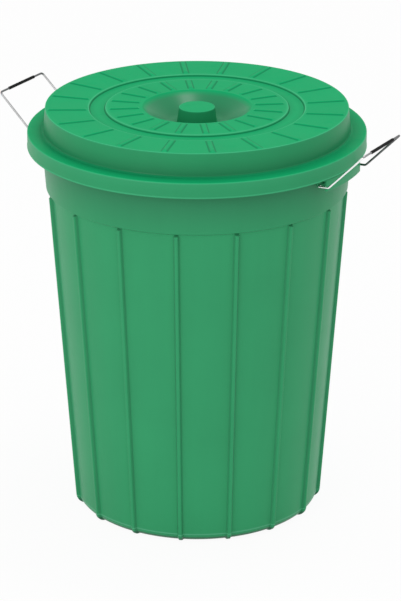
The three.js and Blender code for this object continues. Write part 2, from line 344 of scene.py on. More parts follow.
@dataclass(frozen=True)
class DrawnWire(Finish):
    """Bright drawn steel wire with fine scratches and a painted reflection that is darker where the mesh's
    tone is low.
    """

    colour: Colour
    # the colour of a painted reflection of something darker, where the mesh's tone is low
    painted_dark_reflection_colour: Colour
    roughness: float
    patch_scale: float = 60.0
    patch_share: float = 0.3
    scratch_scale: float = 420.0
    scratch_depth: float = 0.00001
    scratch_roughness: float = 0.1
    polish: float = 0.1

    def sockets(self, recipe: Recipe) -> dict[str, object]:
        """The values and links of the shader's sockets.

        Args:
            recipe: the material's recipe.

        Returns:
            The values and links, by socket name.
        """
        scratches = recipe.noise(self.scratch_scale, 5.0, 0.7)
        patches = recipe.noise(self.patch_scale, 3.0)
        # painted reflection: bright where the mesh's tone is high and darker where it is low, broken up at
        # random
        painted_shine = recipe.spread(recipe.attribute(TONE) + (patches - 0.5) * self.patch_share, 0.0, 1.0)
        return {
            "Base Color": recipe.blend(painted_shine, self.painted_dark_reflection_colour, self.colour),
            "Metallic": 1.0,
            "Roughness": self.roughness - painted_shine * self.polish + (scratches - 0.5) * self.scratch_roughness,
            "Normal": recipe.bump(scratches, self.scratch_depth),
        }


@dataclass(frozen=True)
class VinylSleeve(Finish):
    """Black vinyl tubing with a soft sheen, fine grain and faint handling marks."""

    colour: Colour
    worn_colour: Colour
    roughness: float
    specular: float
    mark_scale: Triple = (90.0, 30.0, 90.0)
    mark_range: Pair = (0.5, 0.75)
    mark_roughness: float = 0.1
    grain_scale: float = 1500.0
    grain_depth: float = 0.00002
    grain_roughness: float = 0.12

    def sockets(self, recipe: Recipe) -> dict[str, object]:
        """The values and links of the shader's sockets.

        Args:
            recipe: the material's recipe.

        Returns:
            The values and links, by socket name.
        """
        grain = recipe.noise(self.grain_scale, 3.0)
        marks = recipe.spread(recipe.noise(self.mark_scale, 5.0, 0.65), *self.mark_range)
        return {
            "Base Color": recipe.blend(marks, self.colour, self.worn_colour),
            "Roughness": self.roughness + marks * self.mark_roughness + (grain - 0.5) * self.grain_roughness,
            "Specular IOR Level": self.specular,
            "Normal": recipe.bump(grain, self.grain_depth),
        }


DRUM_PLASTIC = MouldedPlastic(
    name="drum_plastic",
    shaded_wall_colour=(0.035, 0.336, 0.140),
    lit_top_colour=(0.035, 0.336, 0.140),
    painted_highlight_colour=(0.120, 0.470, 0.270),
    painted_shade_colour=(0.030, 0.145, 0.078),
    roughness=0.38,
    specular=0.14,
    streak_scale=(34.0, 34.0, 3.0),
)
LID_PLASTIC = MouldedPlastic(
    name="lid_plastic",
    shaded_wall_colour=(0.020, 0.300, 0.118),
    lit_top_colour=(0.006, 0.372, 0.135),
    painted_highlight_colour=(0.070, 0.500, 0.240),
    painted_shade_colour=(0.004, 0.120, 0.050),
    roughness=0.5,
    specular=0.03,
    streak_scale=(14.0, 14.0, 14.0),
)
WIRE_STEEL = DrawnWire(
    name="bright_wire",
    colour=(0.94, 0.94, 0.94),
    painted_dark_reflection_colour=(0.14, 0.14, 0.145),
    roughness=0.32,
)
GRIP_VINYL = VinylSleeve(
    name="black_grip",
    colour=(0.003, 0.003, 0.0033),
    worn_colour=(0.006, 0.006, 0.0066),
    roughness=0.45,
    specular=0.08,
)


# Outlines and turned forms


@dataclass(frozen=True)
class Corner:
    """A corner of an outline in the radius-height plane, with the radius of its round."""

    radius: float
    height: float
    round: float = 0.0
    steps: int = 5

    @property
    def at(self) -> Vector:
        """The corner as a 2D point."""
        return Vector((self.radius, self.height))


def rounded(corners: Sequence[Corner]) -> list[Vector]:
    """The points of an outline, with each round cut into short straights.

    Args:
        corners: the outline's corners in order; the first and last have no round.

    Returns:
        2D points.
    """
    points: list[Vector] = []
    for i, corner in enumerate(corners):
        if corner.round == 0:
            points.append(corner.at)
            continue
        back = (corners[i - 1].at - corner.at).normalized()
        onward = (corners[i + 1].at - corner.at).normalized()
        half_angle = back.angle(onward) / 2
        tangent = corner.round / math.tan(half_angle)
        centre = corner.at + (back + onward).normalized() * (corner.round / math.sin(half_angle))
        start = corner.at + back * tangent - centre
        end = corner.at + onward * tangent - centre
        turn = math.atan2(start.x * end.y - start.y * end.x, start.dot(end))
        for step in range(corner.steps + 1):
            points.append(centre + Matrix.Rotation(turn * step / corner.steps, 2) @ start)
    return points


def graded(points: Sequence[Vector], longest: float, shoulder: float = 0.0008, axes: int = 2) -> list[Vector]:
    """Cuts long straights, with a short piece at each end so that shading stays flat between rounds.

    Args:
        points: points of two or more numbers.
        longest: the longest straight left.
        shoulder: the length of the short end pieces.
        axes: how many of a point's numbers measure the distance.

    Returns:
        The finer list of points.
    """
    finer = [points[0]]
    for start, end in zip(points, points[1:]):
        length = Vector((end - start)[:axes]).length
        if length > 4 * shoulder:
            pieces = max(1, math.ceil((length - 2 * shoulder) / longest))
            for i in range(pieces + 1):
                finer.append(start.lerp(end, (shoulder + (length - 2 * shoulder) * i / pieces) / length))
        finer.append(end)
    return finer


def parallel(corners: Sequence[Corner], distance: float) -> list[Vector]:
    """The corners of a parallel outline.

    Args:
        corners: the outline's corners.
        distance: how far to the right of the outline, or to its left if negative.

    Returns:
        2D points.
    """
    normals = []
    for start, end in zip(corners, corners[1:]):
        along = (end.at - start.at).normalized()
        normals.append(Vector((along.y, -along.x)))
    moved = []
    for i, corner in enumerate(corners):
        before = normals[max(i - 1, 0)]
        after = normals[min(i, len(normals) - 1)]
        moved.append(corner.at + (before + after) * (distance / (1 + before.dot(after))))
    return moved


@dataclass(frozen=True)
class Ring:
    """One ring of a turned form: its point between ribs, its point on a rib's crest, and its tones.

    The tone is the whole ring's painted light and shade; the line shade paints shade along the lines beside
    the ribs, and the end shade paints shade on the ribs' own surface, or light where it is below 0. Gloss is
    the share of the mould's polish that the ring took.
    """

    base: Vector
    crest: Vector
    tone: float = 0.0
    seam: float = 0.0
    rib_cap_shade: float = 0.0
    gloss: float = 0.0

    @classmethod
    def plain(cls, point: Vector, tone: float = 0.0, gloss: float = 0.0) -> Ring:
        """A ring with no ribs."""
        return cls(point, point, tone, gloss=gloss)


@dataclass(frozen=True)
class Column:
    """One column of a turned form: its angle in radians and its shares of a rib's height and of the painted
    shade line at its foot.
    """

    angle: float
    share: float = 0.0
    line: float = 0.0


@dataclass(frozen=True)
class Ribbing:
    """Equal ribs round a turned form, with slanted sides that are rounded at the crest and the foot.

    The line is a painted shade at a rib's foot, which fades out over the panel. Below the least radius a
    rib's columns close in with the form.
    """

    count: int
    crest_width: float
    foot_width: float
    round: float
    line_width: float
    panel_columns: int
    least_radius: float

    @property
    def stations(self) -> list[Triple]:
        """The columns across one rib.

        Returns:
            For each column, its offset from the middle, its share of the height and its share of the painted
            shade line.
        """
        near, far = self.crest_width / 2, self.foot_width / 2
        drop = self.round / (far - near) / 4
        side = [
            (near - self.round, 1.0, 0.0),
            (near, 1.0 - drop, 0.0),
            (near + self.round, 1.0 - 4 * drop, 0.1),
            (far - self.round, 4 * drop, 0.8),
            (far, drop, 1.0),
            (far + self.round, 0.0, 0.9),
            (far + self.round + self.line_width, 0.0, 0.0),
        ]
        mirrored = [(-offset, share, line) for offset, share, line in reversed(side)]
        return [*mirrored, (0.0, 1.0, 0.0), *side]

    def columns(self, radius: float) -> list[Column]:
        """The columns on a ring of a given radius.

        Args:
            radius: the ring's radius between ribs.

        Returns:
            The columns in order.
        """
        sector = FULL_TURN / self.count
        stations = self.stations
        scale = 1 / max(radius, self.least_radius)
        widest = stations[-1][0] * scale
        gap = (sector - 2 * widest) / (self.panel_columns + 1)
        columns: list[Column] = []
        for i in range(self.count):
            middle = i * sector
            columns += [Column(middle + offset * scale, share, line) for offset, share, line in stations]
            columns += [Column(middle + widest + gap * (k + 1)) for k in range(self.panel_columns)]
        return columns


def even_columns(count: int) -> Callable[[float], list[Column]]:
    """Equal columns with no ribs, in the form that turned() takes."""
    return lambda radius: [Column(FULL_TURN * i / count) for i in range(count)]


def turned(
    name: str, rings: Sequence[Ring], columns: Callable[[float], list[Column]], loop: bool = False
) -> bpy.types.Mesh:
    """A closed form of revolution about +Z, with ribs where its rings have crests.

    Args:
        name: the mesh's name.
        rings: the outline's rings; without loop, the first and last lie on the axis.
        columns: gives the columns on a ring of a given radius.
        loop: whether the last ring joins the first, as in a tube.

    Returns:
        The mesh.
    """
    points: list[Vector] = []
    tones: list[float] = []
    glosses: list[float] = []
    rows: list[list[int]] = []
    for ring in rings:
        if ring.base.x < ON_AXIS:
            rows.append([len(points)])
            points.append(Vector((0.0, 0.0, ring.base.y)))
            tones.append(ring.tone)
            glosses.append(ring.gloss)
            continue
        row = []
        for column in columns(ring.base.x):
            radius, height = ring.base.lerp(ring.crest, column.share)
            row.append(len(points))
            points.append(Vector((radius * math.cos(column.angle), radius * math.sin(column.angle), height)))
            # painted light and shade: the ring's tone, less the painted shade beside the ribs and on them
            tones.append(ring.tone - ring.seam * column.line - ring.rib_cap_shade * column.share)
            glosses.append(ring.gloss)
        rows.append(row)
    faces: list[tuple[int, ...]] = []
    pairs = list(zip(rows, rows[1:])) + ([(rows[-1], rows[0])] if loop else [])
    for low, high in pairs:
        around = max(len(low), len(high))
        for i in range(around):
            j = (i + 1) % around
            corners = [low[i % len(low)], low[j % len(low)], high[j % len(high)], high[i % len(high)]]
            faces.append(tuple(dict.fromkeys(corners)))
    mesh = bpy.data.meshes.new(name)
    mesh.from_pydata(points, [], faces)
    mesh.attributes.new(TONE, "FLOAT", "POINT").data.foreach_set("value", tones)
    mesh.attributes.new(GLOSS, "FLOAT", "POINT").data.foreach_set("value", glosses)
    return mesh


def nearness(point: Vector, edges: Sequence[Pair], reach: float) -> float:
    """1 at any of the given (radius, height) edges, falling to 0 at a distance."""
    nearest = min((point.to_2d() - Vector(edge)).length for edge in edges)
    return max(0.0, 1.0 - nearest / reach)


def finished(mesh: bpy.types.Mesh) -> bpy.types.Mesh:
    """Turns every face outwards and shades the mesh smooth.

    Args:
        mesh: the mesh, which is changed.

    Returns:
        The same mesh.
    """
    work = bmesh.new()
    work.from_mesh(mesh)
    bmesh.ops.recalc_face_normals(work, faces=work.faces)
    for face in work.faces:
        face.smooth = True
    work.to_mesh(mesh)
    work.free()
    return mesh


def drawn(name: str, work: bmesh.types.BMesh) -> bpy.types.Mesh:
    """A mesh from an edit mesh, which is freed.

    Args:
        name: the mesh's name.
        work: the edit mesh.

    Returns:
        The mesh.
    """
    mesh = bpy.data.meshes.new(name)
    work.to_mesh(mesh)
    work.free()
    return mesh


def joined(name: str, meshes: Sequence[bpy.types.Mesh]) -> bpy.types.Mesh:
    """One mesh that holds several.

    Args:
        name: the mesh's name.
        meshes: the meshes to join.

    Returns:
        The mesh.
    """
    work = bmesh.new()
    for mesh in meshes:
        work.from_mesh(mesh)
    return drawn(name, work)


def applied(obj: bpy.types.Object) -> bpy.types.Mesh:
    """Turns an object into a plain mesh.

    Args:
        obj: the object, which is removed.

    Returns:
        Its mesh with the modifiers applied.
    """
    bpy.context.view_layer.update()
    graph = bpy.context.evaluated_depsgraph_get()
    mesh = bpy.data.meshes.new_from_object(obj.evaluated_get(graph))
    bpy.data.objects.remove(obj)
    return mesh


def placed(name: str, data: bpy.types.ID) -> bpy.types.Object:
    """Puts a mesh, curve, lamp or camera in the scene.

    Args:
        name: the object's name.
        data: what the object shows.

    Returns:
        The object.
    """
    obj = bpy.data.objects.new(name, data)
    bpy.context.scene.collection.objects.link(obj)
    return obj


def carried(
    name: str, mesh: bpy.types.Mesh, material: bpy.types.Material, body: str, node: str
) -> None:
    """Puts a finished piece on its body in place of a plain node.

    Args:
        name: the piece's name.
        mesh: its mesh, in the drum's own frame.
        material: its finish.
        body: the body that it moves with.
        node: the plain node that it stands for.
    """
    obj = placed(name, finished(mesh))
    obj.data.materials.clear()
    obj.data.materials.append(material)
    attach(obj, body)
    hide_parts(node)
    LOG.info("%s: %d faces, rides on %s", name, len(obj.data.polygons), body)


# Drum


@dataclass
class Drum:
    """The tapered drum: base, ribbed wall, collar, rim with a turned-down lip, and two lugs for the bails."""

    height: float = 0.6205
    mouth_radius: float = 0.2435
    wall: float = 0.003
    lip_radius: float = 0.2615
    lip_wall: float = 0.003
    lip_depth: float = 0.018
    rim_round: float = 0.002
    collar_foot: float = 0.5301
    collar_foot_radius: float = 0.2372
    collar_step: float = 0.0025
    panel_head_radius: float = 0.2328
    panel_foot_radius: float = 0.1962
    foot_round: float = 0.016
    foot_steps: int = 20
    recess_radius: float = 0.148
    recess_slope: float = 0.004
    recess_depth: float = 0.003
    edge_round: float = 0.0008
    ribs: Ribbing = Ribbing(
        count=16,
        crest_width=0.0045,
        foot_width=0.0085,
        round=0.00035,
        line_width=0.0004,
        panel_columns=10,
        least_radius=0.148,
    )
    rib_height: float = 0.005
    rib_notch: float = 0.0025
    rib_end_start: float = 1.25
    rib_end: tuple[Pair, ...] = ((1.0, 0.985), (0.8, 0.83), (0.25, 0.25), (0.08, 0.06))
    longest_straight: float = 0.024
    longest_base_straight: float = 0.05
    # painted highlight along the foot's round, a band of painted shade below it, and painted shade beside the
    # ribs, on their tops and on the collar
    foot_gleam: Pair = (0.0125, 0.0155)
    foot_shade_band: Pair = (0.002, 0.0085)
    foot_shade: float = 0.8
    rib_shade: float = 0.42
    rib_end_shade: float = 0.5
    collar_shade: float = 0.6
    shade_heights: Pair = (0.515, 0.61)
    apron_half_width: float = 0.0555
    apron_radius: float = 0.2645
    apron_wall: float = 0.003
    apron_top: float = 0.5985
    apron_foot: float = 0.58
    block_half_width: float = 0.0465
    block_foot: float = 0.5825
    block_bite: float = 0.0015
    lug_round: float = 0.0009
    lug_round_steps: int = 3
    lug_round_angle: float = 30.0
    lug_root: float = 0.0015
    lug_inset: float = 0.00005
    lug_stations: int = 16
    pivot_radius: float = 0.2475
    pivot_height: float = 0.5895
    bore_radius: float = 0.00205
    bore_depth: float = 0.0168
    bore_sides: int = 24

    @property
    def flange_under(self) -> float:
        """The height of the rim's underside."""
        return self.height - self.wall

    def collar_radius(self, height: float) -> float:
        """The collar's outer radius at a height.

        Args:
            height: a height on the collar.

        Returns:
            The radius.
        """
        low = self.collar_foot + self.collar_step
        share = (height - low) / (self.height - low)
        return self.collar_foot_radius + (self.mouth_radius - self.collar_foot_radius) * share

    def wall_rings(self) -> list[Ring]:
        """The ribbed outside, from the edge of the base's recess to the collar's foot.

        Returns:
            The rings from the base up.
        """
        start = Corner(self.recess_radius + self.recess_slope, 0.0)
        panel, crest = (
            rounded(
                [
                    start,
                    Corner(self.panel_foot_radius + rise, 0.0, self.foot_round, self.foot_steps),
                    Corner(self.panel_head_radius + rise, self.collar_foot),
                ]
            )
            for rise in (0.0, self.rib_height)
        )
        notch = self.rib_notch / self.collar_foot
        pairs = [Vector((*p, *c)) for p, c in zip(panel, crest)]
        straight, head = pairs[-2:]
        pairs[-1] = straight.lerp(head, 1 - self.rib_end_start * notch)
        low, high = self.foot_gleam
        middle = (low + high) / 2
        rings = []
        for pair in graded(pairs, self.longest_straight):
            base, top = pair.to_2d(), Vector((pair.z, pair.w))
            # painted highlight along the foot's round, painted shade in a band near the floor, and painted
            # shade lines beside the ribs
            gleam = max(0.0, 1 - abs(base.y - middle) / (high - middle))
            dark = self.foot_shade if self.foot_shade_band[0] < base.y < self.foot_shade_band[1] else 0.0
            rings.append(Ring(base, top, gleam - dark, 0.0 if base.y == 0 else self.rib_shade))
        for down, share in self.rib_end:
            pair = straight.lerp(head, 1 - down * notch)
            base = pair.to_2d()
            top = base.lerp(Vector((pair.z, pair.w)), share)
            # painted shade on the ribs' slanted tops under the collar's step
            rib_cap_shade = 0.0 if down == 1 else self.rib_end_shade
            rings.append(Ring(base, top, seam=share * self.rib_shade, rib_cap_shade=rib_cap_shade))
        return rings

    def _collar_shade(self, point: Vector) -> float:
        """The painted shade on the collar, deepest under the rim."""
        low, high = self.shade_heights
        return min(max((point.y - low) / (high - low), 0.0), 1.0) * self.collar_shade

    def shell(self) -> bpy.types.Mesh:
        """Base, ribbed wall, collar and rim, inside and out.

        Returns:
            The mesh.
        """
        outside = [
            Corner(0.0, self.recess_depth),
            Corner(self.recess_radius, self.recess_depth),
            Corner(self.recess_radius + self.recess_slope, 0.0),
            Corner(self.panel_foot_radius, 0.0),
            Corner(self.panel_head_radius, self.collar_foot),
            Corner(self.collar_foot_radius, self.collar_foot + self.collar_step),
            Corner(self.mouth_radius, self.height),
        ]
        inner = parallel(outside, -self.wall)
        lip_in = self.lip_radius - self.lip_wall
        lip_foot = self.height - self.lip_depth
        small = self.edge_round
        collar_and_rim = [
            Corner(self.panel_head_radius, self.collar_foot),
            Corner(self.collar_foot_radius, self.collar_foot + self.collar_step, small, 4),
            Corner(self.collar_radius(self.flange_under), self.flange_under, small, 3),
            Corner(lip_in, self.flange_under, small, 3),
            Corner(lip_in, lip_foot, small, 3),
            Corner(self.lip_radius, lip_foot, small, 3),
            Corner(self.lip_radius, self.height, self.rim_round, 6),
            Corner(self.mouth_radius - self.wall, self.height, small, 4),
            Corner(*inner[5], small, 3),
            Corner(*inner[4], small, 3),
            Corner(*inner[3], self.foot_round - self.wall, 8),
            Corner(*inner[2], small, 2),
            Corner(*inner[1], small, 2),
            Corner(0.0, self.recess_depth + self.wall),
        ]
        recess = [
            Corner(0.0, self.recess_depth),
            Corner(self.recess_radius, self.recess_depth, small, 2),
            Corner(self.recess_radius + self.recess_slope, 0.0),
        ]
        rings = [Ring.plain(p) for p in graded(rounded(recess), self.longest_base_straight)[:-1]]
        rings += self.wall_rings()
        upper = graded(rounded(collar_and_rim), self.longest_straight)
        # painted shade on the collar and rim, deepest under the rim
        rings += [Ring.plain(p, -self._collar_shade(p)) for p in upper]
        return turned("drum_shell", rings, self.ribs.columns)

    def apron(self, side: Side) -> bpy.types.Mesh:
        """The front of one lug: it hangs from the rim's lip and stands proud of it, under the lid's skirt.

        Args:
            side: the side of the drum.

        Returns:
            The mesh.
        """
        outer = self.apron_radius
        inner = outer - self.apron_wall
        under_ledge = self.apron_top - self.apron_wall
        inset = self.lug_inset
        lip_in = self.lip_radius - self.lip_wall + inset
        high = self.height - self.lip_depth + self.block_bite
        section = [
            (inner, self.apron_foot),
            (outer, self.apron_foot),
            (outer, self.apron_top),
            (self.lip_radius - inset, self.apron_top),
            (self.lip_radius - inset, high),
            (lip_in, high),
            (lip_in, under_ledge),
            (inner, under_ledge),
        ]
        bar = self._bent_bar(f"{side.label}_apron", side, section, self.apron_half_width)
        return applied(self._softened(bar))

    def bearing_block(self, side: Side) -> bpy.types.Mesh:
        """The block behind one apron, with two blind bores for a bail's pins.

        Args:
            side: the side of the drum.

        Returns:
            The mesh.
        """
        top = self.flange_under - self.lug_inset
        outer = self.apron_radius - self.apron_wall + self.block_bite
        step = self.apron_top - self.apron_wall + self.block_bite
        section = [
            (self.collar_radius(self.block_foot) - self.lug_root, self.block_foot),
            (outer, self.block_foot),
            (outer, step),
            (self.lip_radius - self.block_bite, step),
            (self.lip_radius - self.block_bite, top),
            (self.collar_radius(top) - self.lug_root, top),
        ]
        block = self._softened(self._bent_bar(f"{side.label}_block", side, section, self.block_half_width))
        bores = [self._bore(side, end) for end in (1, -1)]
        for bore in bores:
            cut = block.modifiers.new("pin_bore", "BOOLEAN")
            cut.operation = "DIFFERENCE"
            cut.solver = "EXACT"
            cut.object = bore
        made = applied(block)
        for bore in bores:
            bpy.data.objects.remove(bore)
        return made

    def _bent_bar(
        self, name: str, side: Side, section: Sequence[Pair], half_width: float
    ) -> bpy.types.Object:
        """A closed bar of one section that follows the rim's curve between two flat ends.

        Args:
            name: the bar's name.
            side: the side of the drum.
            section: the section's corners, as (radius, height).
            half_width: half the distance between the ends.

        Returns:
            The bar in the scene.
        """
        work = bmesh.new()
        rows = []
        for i in range(self.lug_stations + 1):
            across = half_width * (2 * i / self.lug_stations - 1)
            reaches = [(side.sign * math.sqrt(r * r - across * across), z) for r, z in section]
            rows.append([work.verts.new((x, across, z)) for x, z in reaches])
        for low, high in zip(rows, rows[1:]):
            for i in range(len(section)):
                j = (i + 1) % len(section)
                work.faces.new((low[i], low[j], high[j], high[i]))
        work.faces.new(rows[0])
        work.faces.new(rows[-1])
        bmesh.ops.recalc_face_normals(work, faces=work.faces)
        return placed(name, drawn(name, work))

    def _softened(self, piece: bpy.types.Object) -> bpy.types.Object:
        """Rounds the edges of a piece.

        Args:
            piece: the piece, which is changed.

        Returns:
            The same piece.
        """
        bevel = piece.modifiers.new("rounded_edges", "BEVEL")
        bevel.width = self.lug_round
        bevel.segments = self.lug_round_steps
        bevel.limit_method = "ANGLE"
        bevel.angle_limit = math.radians(self.lug_round_angle)
        return piece

    def _bore(self, side: Side, end: int) -> bpy.types.Object:
        """The round cutter of one bore.

        Args:
            side: the side of the drum.
            end: the block's end along Y, 1 or -1.

        Returns:
            The cutter in the scene.
        """
        work = bmesh.new()
        bmesh.ops.create_cone(
            work,
            cap_ends=True,
            segments=self.bore_sides,
            radius1=self.bore_radius,
            radius2=self.bore_radius,
            depth=2 * self.bore_depth,
        )
        cutter = placed("bore_cutter", drawn("bore", work))
        place = (side.sign * self.pivot_radius, end * self.block_half_width, self.pivot_height)
        cutter.matrix_world = Matrix.Translation(place) @ Matrix.Rotation(math.pi / 2, 4, "X")
        return cutter

    def build(self, material: bpy.types.Material) -> None:
        """Builds the drum in place of its plain node.

        Args:
            material: the drum's finish.
        """
        lugs = [part(side) for side in Side for part in (self.apron, self.bearing_block)]
        whole = joined("drum", [self.shell(), *lugs])
        carried("ribbed_drum", whole, material, "drum", "drum_body")


# Lid


@dataclass
class Lid:
    """The lid: brim with a skirt, raised crown, shallow channel, two rings of ribs, bowl and middle knob."""

    wall: float = 0.0028
    brim_radius: float = 0.2655
    brim_top: float = 0.6236
    skirt_depth: float = 0.0244
    skirt_bead: float = 0.0005
    skirt_bead_height: float = 0.0022
    brim_round: float = 0.002
    crown_foot_radius: float = 0.240
    crown_radius: float = 0.2365
    crown_top: float = 0.6608
    crown_foot_round: float = 0.004
    crown_round: float = 0.001
    disc_level: float = 0.6588
    channel_outer_radius: float = 0.1686
    channel_inner_radius: float = 0.1424
    channel_depth: float = 0.003
    channel_wall_run: float = 0.0015
    channel_round: float = 0.001
    bowl_radius: float = 0.0854
    bowl_depth: float = 0.028
    bowl_floor_radius: float = 0.045
    bowl_floor_round: float = 0.024
    bowl_edge_round: float = 0.003
    knob_top: float = 0.6587
    knob_top_radius: float = 0.028
    knob_foot_radius: float = 0.0315
    knob_round: float = 0.0025
    knob_foot_round: float = 0.004
    ribs: Ribbing = Ribbing(
        count=20,
        crest_width=0.0045,
        foot_width=0.0095,
        round=0.0005,
        line_width=0.001,
        panel_columns=6,
        least_radius=0.0854,
    )
    rib_height: float = 0.0015
    rib_end_run: float = 0.002
    rib_end_soft: float = 0.2
    # painted light on edges, the brim's edge and up the skirt, and painted shade in creases, the bowl, round
    # the knob and at the brim's corner
    edge_reach: float = 0.0018
    edge_light: float = 1.0
    brim_light: float = 0.6
    brim_edge_in: float = 0.0008
    brim_edge_down: float = 0.0006
    crease_reach: float = 0.0013
    knob_shade: float = 0.22
    rib_shade: float = 0.6
    rib_end_shade: float = -0.2
    rib_end_shares: Pair = (0.1, 0.9)
    brim_shade: float = 0.45
    brim_shade_reach: float = 0.026
    skirt_light: float = 0.25
    bowl_gloss: float = 0.52
    bowl_shade: float = 0.55
    wall_gloss: float = 0.3
    level_margin: float = 0.001
    crown_rib: Pair = (0.172, 0.233)
    disc_rib: Pair = (0.090, 0.137)
    longest_straight: float = 0.012
    longest_under_straight: float = 0.03

    def top_corners(self) -> list[Corner]:
        """The upper surface from the middle of the knob to the skirt's lower edge.

        Returns:
            The outline's corners.
        """
        bowl_floor = self.disc_level - self.bowl_depth
        channel_floor = self.disc_level - self.channel_depth
        run = self.channel_wall_run
        skirt_foot = self.brim_top - self.skirt_depth
        bead_top = skirt_foot + self.skirt_bead_height
        return [
            Corner(0.0, self.knob_top),
            Corner(self.knob_top_radius, self.knob_top, self.knob_round, 6),
            Corner(self.knob_foot_radius, bowl_floor, self.knob_foot_round, 6),
            Corner(self.bowl_floor_radius, bowl_floor, self.bowl_floor_round, 8),
            Corner(self.bowl_radius, self.disc_level, self.bowl_edge_round, 6),
            Corner(self.channel_inner_radius, self.disc_level, self.channel_round, 4),
            Corner(self.channel_inner_radius + run, channel_floor, self.channel_round / 2, 3),
            Corner(self.channel_outer_radius - run, channel_floor, self.channel_round / 2, 3),
            Corner(self.channel_outer_radius, self.disc_level, self.channel_round, 4),
            Corner(self.crown_radius, self.crown_top, self.crown_round, 6),
            Corner(self.crown_foot_radius, self.brim_top, self.crown_foot_round, 6),
            Corner(self.brim_radius - self.skirt_bead, self.brim_top, self.brim_round, 6),
            Corner(self.brim_radius - self.skirt_bead, bead_top, self.skirt_bead, 2),
            Corner(self.brim_radius, bead_top - self.skirt_bead, self.skirt_bead, 3),
            Corner(self.brim_radius, skirt_foot, self.skirt_bead, 3),
        ]

    @property
    def light_edges(self) -> list[Pair]:
        """The edges that get a thin line of painted light.

        Returns:
            The edges, as (radius, height).
        """
        return [
            (self.knob_top_radius, self.knob_top),
            (self.channel_inner_radius, self.disc_level),
            (self.channel_outer_radius, self.disc_level),
            (self.crown_radius, self.crown_top),
        ]

    @property
    def dark_creases(self) -> list[Pair]:
        """The inner corners that get a thin line of painted shade.

        Returns:
            The corners, as (radius, height).
        """
        floor = self.disc_level - self.channel_depth
        return [
            (self.channel_inner_radius + self.channel_wall_run, floor),
            (self.channel_outer_radius - self.channel_wall_run, floor),
        ]

    def _tone(self, point: Vector) -> float:
        """The painted light on edges and up the skirt, and the painted shade in creases, the bowl and the
        brim's corner.

        Args:
            point: a point of the outline.

        Returns:
            The tone.
        """
        skirt_foot = self.brim_top - self.skirt_depth
        brim_edges = [
            (self.brim_radius - self.brim_edge_in, self.brim_top - self.brim_edge_down),
            (self.brim_radius, skirt_foot + self.skirt_bead_height - self.skirt_bead),
        ]
        light = max(
            nearness(point, self.light_edges, self.edge_reach) * self.edge_light,
            nearness(point, brim_edges, self.edge_reach) * self.brim_light,
        )
        if point.x > self.brim_radius - self.skirt_bead - TOUCH:
            light += self.skirt_light * max(0.0, (point.y - skirt_foot) / self.skirt_depth)
        crown_foot = [(self.crown_foot_radius, self.brim_top)]
        shade = max(
            nearness(point, self.dark_creases, self.crease_reach),
            nearness(point, crown_foot, self.brim_shade_reach) * self.brim_shade,
        )
        if self._in_bowl(point):
            shade = max(shade, self.knob_shade if point.x < self.knob_foot_radius else self.bowl_shade)
        return light - shade

    def _gloss(self, point: Vector) -> float:
        """The polish of the bowl, the crown's wall and the skirt.

        Args:
            point: a point of the outline.

        Returns:
            The gloss.
        """
        if self._in_bowl(point) and point.x > self.knob_foot_radius:
            return self.bowl_gloss
        on_crown = self.crown_radius < point.x < self.crown_foot_radius
        on_skirt = point.x > self.brim_radius - self.level_margin
        below_crown = point.y < self.crown_top - self.crown_round
        return self.wall_gloss if (on_crown or on_skirt) and below_crown else 0.0

    def _in_bowl(self, point: Vector) -> bool:
        """Whether a point of the outline lies inside the bowl, the knob's side included."""
        return point.x < self.bowl_radius and point.y < self.disc_level - self.level_margin

    def _dressed(self, point: Vector, share: float = 0.0) -> Ring:
        """A ring with its lines of painted light and shade.

        Args:
            point: the ring's point of the outline.
            share: the share of its height that a rib has there.

        Returns:
            The ring.
        """
        # painted light on the ribs' slanted ends, where the end shade is below 0
        slanted = self.rib_end_shares[0] < share < self.rib_end_shares[1]
        rib_cap_shade = self.rib_end_shade if slanted else 0.0
        crest = point + Vector((0.0, self.rib_height * share))
        return Ring(point, crest, self._tone(point), self.rib_shade * share, rib_cap_shade, self._gloss(point))

    def _rib_share(self, radius: float) -> float:
        """How much of a rib's height it has at a radius.

        Args:
            radius: a radius on the lid.

        Returns:
            0 past the rib's ends, 1 between its slanted ends.
        """
        for inner, outer in (self.crown_rib, self.disc_rib):
            reach = min(radius - inner, outer - radius) / self.rib_end_run
            if reach > 0:
                return min(reach, 1.0)
        return 0.0

    def _rib_stations(self) -> list[float]:
        """The radii where a rib's ends start, turn and finish.

        Returns:
            The radii in order.
        """
        soft = self.rib_end_soft
        turns = (-soft, soft, 1 - soft, 1 + soft)
        run = self.rib_end_run
        inner = [rib[0] + run * turn for rib in (self.crown_rib, self.disc_rib) for turn in turns]
        outer = [rib[1] - run * turn for rib in (self.crown_rib, self.disc_rib) for turn in turns]
        return sorted(inner + outer)

    def _softened_share(self, radius: float) -> float:
        """A rib's share of its height, with the corners of its ends rounded off.

        Args:
            radius: a radius on the lid.

        Returns:
            The share, from 0 to 1.
        """
        reach = self.rib_end_run * self.rib_end_soft
        shares = [self._rib_share(radius + reach * k / 2) for k in (-2, -1, 0, 1, 2)]
        return sum(shares) / len(shares)

